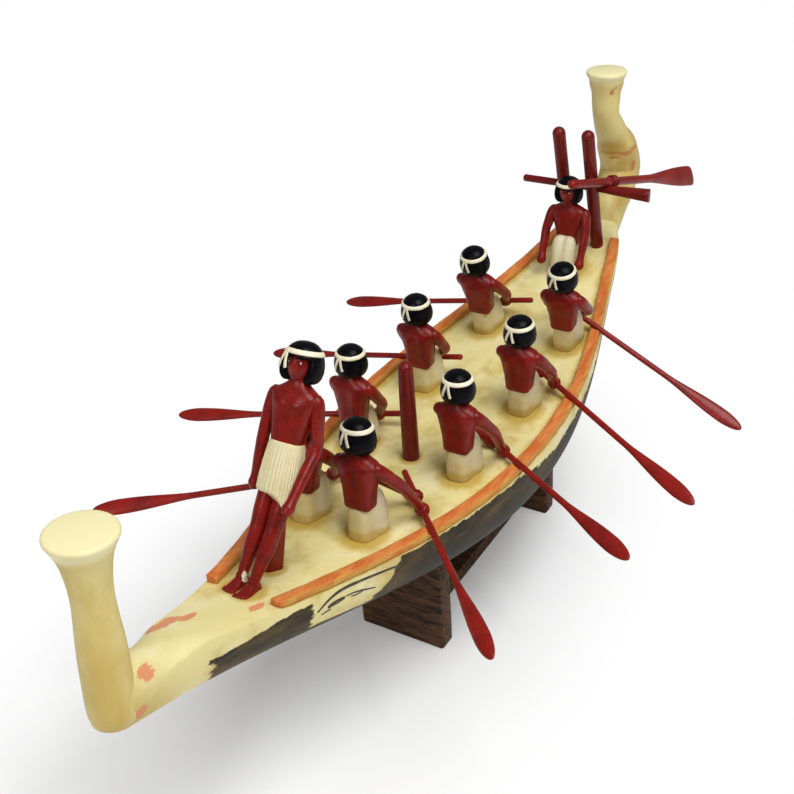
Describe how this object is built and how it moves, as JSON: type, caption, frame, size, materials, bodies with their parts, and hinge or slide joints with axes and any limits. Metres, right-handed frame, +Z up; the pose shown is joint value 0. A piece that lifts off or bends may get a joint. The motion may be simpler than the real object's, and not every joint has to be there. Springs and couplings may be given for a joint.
{
  "type": "model boat",
  "caption": "Painted wooden tomb-model boat with flower-topped upturned ends, seated rowers with oars, a lookout, a steersman with a steering oar, and a trestle stand.",
  "frame": {"origin": "on the table under the hull, midway along the stand's underside", "axes": "+X to the bow, +Y to port, +Z up"},
  "size_m": [0.5454, 0.2817, 0.2324],
  "materials": {
    "ivory_paint": "cream paint, semi-gloss",
    "orange_paint": "brushed orange paint",
    "red_paint": "red-brown paint, semi-gloss",
    "figure_paint": "red-brown skin with black wig and white kilt, painted",
    "dark_wood": "dark stained, satin",
    "plain_wood": "bare"
  },
  "bodies": {
    "stand": {"trestle_fore": "dark_wood", "trestle_aft": "dark_wood", "stretcher": "dark_wood"},
    "boat": {"hull": "ivory_paint", "bow_finial": "ivory_paint", "stern_finial": "ivory_paint", "rail_port": "orange_paint", "rail_starboard": "orange_paint", "rail_pegs": "plain_wood", "finial_dowels": "plain_wood", "mast": "red_paint", "steering_post_port": "red_paint", "steering_post_starboard": "red_paint", "crossbeam": "red_paint", "loom_collar": "red_paint", "lookout_body": "figure_paint", "lookout_arm_port": "figure_paint", "lookout_arm_starboard": "figure_paint", "steersman_body": "figure_paint", "steersman_arm_port": "figure_paint", "steersman_arm_starboard": "figure_paint", "rower_port_1": "figure_paint", "rower_port_2": "figure_paint", "rower_port_3": "figure_paint", "rower_port_4": "figure_paint", "rower_starboard_1": "figure_paint", "rower_starboard_2": "figure_paint", "rower_starboard_3": "figure_paint", "rower_starboard_4": "figure_paint", "rower_port_1_inner_arm": "figure_paint", "rower_port_1_outer_arm": "figure_paint", "rower_port_2_inner_arm": "figure_paint", "rower_port_2_outer_arm": "figure_paint", "rower_port_3_inner_arm": "figure_paint", "rower_port_3_outer_arm": "figure_paint", "rower_port_4_inner_arm": "figure_paint", "rower_port_4_outer_arm": "figure_paint", "rower_starboard_1_inner_arm": "figure_paint", "rower_starboard_1_outer_arm": "figure_paint", "rower_starboard_2_inner_arm": "figure_paint", "rower_starboard_2_outer_arm": "figure_paint", "rower_starboard_3_inner_arm": "figure_paint", "rower_starboard_3_outer_arm": "figure_paint", "rower_starboard_4_inner_arm": "figure_paint", "rower_starboard_4_outer_arm": "figure_paint"},
    "oar_port_1": {"oar_port_1": "red_paint"},
    "oar_port_2": {"oar_port_2": "red_paint"},
    "oar_port_3": {"oar_port_3": "red_paint"},
    "oar_port_4": {"oar_port_4": "red_paint"},
    "oar_starboard_1": {"oar_starboard_1": "red_paint"},
    "oar_starboard_2": {"oar_starboard_2": "red_paint"},
    "oar_starboard_3": {"oar_starboard_3": "red_paint"},
    "oar_starboard_4": {"oar_starboard_4": "red_paint"},
    "steering_oar": {"steering_oar": "red_paint"}
  },
  "joints": [
    {"name": "boat_lift", "type": "slide", "parent": "stand", "child": "boat", "axis": [0, 0, 1], "range_m": [0, 0.06]},
    {"name": "oar_port_1_slide", "type": "slide", "parent": "boat", "child": "oar_port_1", "axis": [0.7071, 0.7071, 0], "range_m": [0, 0.018]},
    {"name": "oar_port_2_slide", "type": "slide", "parent": "boat", "child": "oar_port_2", "axis": [0.5298, 0.8479, 0.0175], "range_m": [0, 0.018]},
    {"name": "oar_port_3_slide", "type": "slide", "parent": "boat", "child": "oar_port_3", "axis": [0.4303, 0.8823, -0.1908], "range_m": [0, 0.018]},
    {"name": "oar_port_4_slide", "type": "slide", "parent": "boat", "child": "oar_port_4", "axis": [0.1122, 0.9136, -0.3907], "range_m": [0, 0.018]},
    {"name": "oar_starboard_1_slide", "type": "slide", "parent": "boat", "child": "oar_starboard_1", "axis": [0.6153, -0.7875, -0.0349], "range_m": [0, 0.018]},
    {"name": "oar_starboard_2_slide", "type": "slide", "parent": "boat", "child": "oar_starboard_2", "axis": [0.2741, -0.956, -0.1045], "range_m": [0, 0.018]},
    {"name": "oar_starboard_3_slide", "type": "slide", "parent": "boat", "child": "oar_starboard_3", "axis": [0, -0.9781, -0.2079], "range_m": [0, 0.018]},
    {"name": "oar_starboard_4_slide", "type": "slide", "parent": "boat", "child": "oar_starboard_4", "axis": [0, -0.9781, -0.2079], "range_m": [0, 0.018]},
    {"name": "steering_oar_turn", "type": "hinge", "parent": "boat", "child": "steering_oar", "pos_m": [-0.191, 0.0182, 0.1779], "axis": [-0.9436, 0.1834, -0.2756], "range_deg": [-40, 40]}
  ]
}
